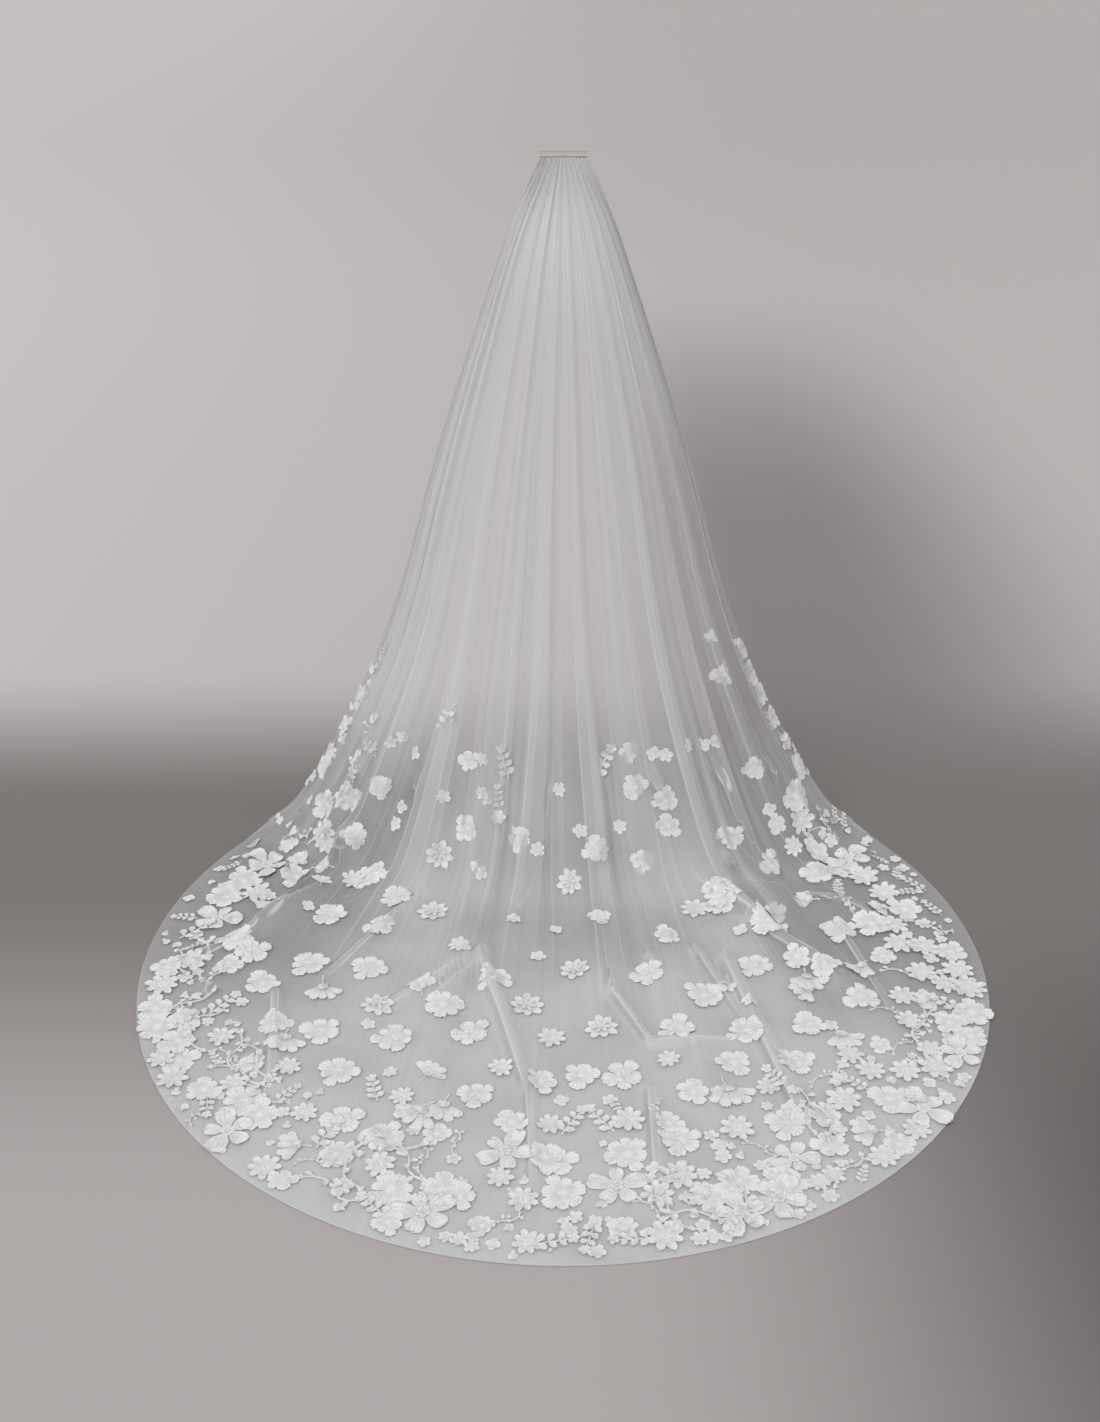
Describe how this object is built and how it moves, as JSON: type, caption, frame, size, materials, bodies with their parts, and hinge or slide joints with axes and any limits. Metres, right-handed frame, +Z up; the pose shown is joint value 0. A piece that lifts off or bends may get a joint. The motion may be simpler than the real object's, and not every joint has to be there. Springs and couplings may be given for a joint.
{
  "type": "veil",
  "caption": "Long sheer bridal veil that hangs from a gathered comb and spreads into a rounded train, with flower appliques.",
  "frame": {"origin": "middle of the comb's bar, where the veil is pinned in the hair and hangs", "axes": "+Z up; the wearer faces +Y; the train runs to -Y along the floor 1.65 m below the comb; +X is the wearer's right"},
  "size_m": [1.8792, 1.5047, 1.6546],
  "materials": {
    "tulle": "sheer soft tulle, matt with a faint sheen on the folds",
    "heading": "gathered tulle in layers, slightly ivory, stitched",
    "comb": "clear to pale moulded plastic, smooth",
    "lace": "white machine embroidery on net, raised satin stitch, matt"
  },
  "bodies": {
    "root": {"tulle_veil": "tulle", "gathered_heading": "heading", "comb": "comb", "blossom_01": "lace", "blossom_02": "lace", "blossom_03": "lace", "blossom_04": "lace", "blossom_05": "lace", "blossom_06": "lace", "blossom_07": "lace", "blossom_08": "lace", "blossom_09": "lace", "blossom_10": "lace", "blossom_11": "lace", "blossom_12": "lace", "blossom_13": "lace", "blossom_14": "lace", "blossom_15": "lace", "blossom_16": "lace", "blossom_17": "lace", "blossom_18": "lace", "blossom_19": "lace", "blossom_20": "lace", "blossom_21": "lace", "blossom_22": "lace", "blossom_23": "lace", "blossom_24": "lace", "blossom_25": "lace", "blossom_26": "lace", "blossom_27": "lace", "daisy_01": "lace", "daisy_02": "lace", "daisy_03": "lace", "daisy_04": "lace", "daisy_05": "lace", "daisy_06": "lace", "daisy_07": "lace", "open_flower_01": "lace", "open_flower_02": "lace", "open_flower_03": "lace", "open_flower_04": "lace", "bell_01": "lace", "bell_02": "lace", "bell_03": "lace", "bell_04": "lace"}
  },
  "joints": []
}
